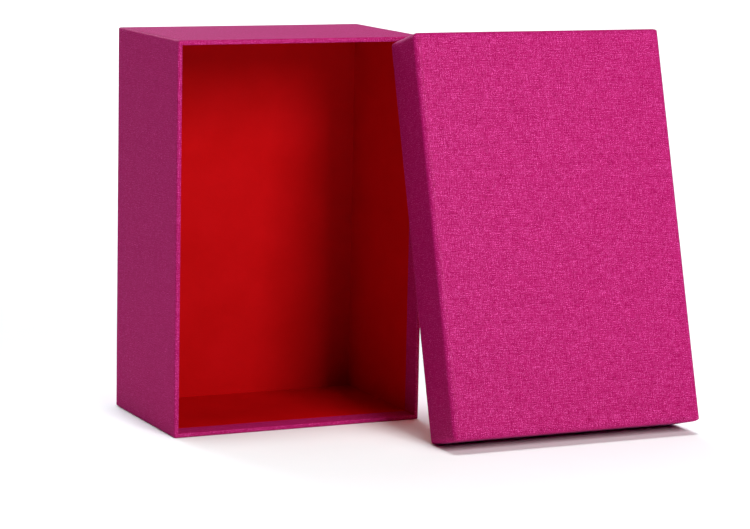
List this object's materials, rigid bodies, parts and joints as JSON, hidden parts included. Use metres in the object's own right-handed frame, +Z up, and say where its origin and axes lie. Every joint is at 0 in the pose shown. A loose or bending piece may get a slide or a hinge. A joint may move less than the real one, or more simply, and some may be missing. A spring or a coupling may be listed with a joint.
{
  "type": "rigid gift box with a lift-off lid",
  "caption": "Rigid set-up gift box in embossed cover paper, standing on its end with its red-lined mouth open, and its shallow lift-off lid leaning against the front edge.",
  "frame": {"origin": "centre of the end face that the base stands on", "axes": "+Z up along the base's long side, -Y out of the base's mouth towards the viewer, +X to the viewer's right, where the lid leans"},
  "size_m": [0.2962, 0.193, 0.2347],
  "materials": {
    "cover_paper": "fuchsia paper embossed with a fine linen weave, satin, with paler slubs and specks",
    "lining_paper": "smooth red uncoated paper, matt to eggshell",
    "greyboard": "grey recycled board with fibre flecks, matt",
    "tape": "brown gummed paper tape, matt"
  },
  "bodies": {
    "base": {"base_board": "greyboard", "base_stay_left_bottom": "tape", "base_stay_right_bottom": "tape", "base_stay_right_top": "tape", "base_stay_left_top": "tape", "base_wrap": "cover_paper", "base_wall_liner": "lining_paper", "base_back_liner": "lining_paper"},
    "lid": {"lid_board": "greyboard", "lid_stay_left_bottom": "tape", "lid_stay_right_bottom": "tape", "lid_stay_right_top": "tape", "lid_stay_left_top": "tape", "lid_wrap": "cover_paper", "lid_wall_liner": "lining_paper", "lid_face_liner": "lining_paper"}
  },
  "joints": [
    {"name": "lid_lift", "type": "slide", "parent": "base", "child": "lid", "axis": [0, 0, 1], "range_m": [0, 0.25]}
  ]
}
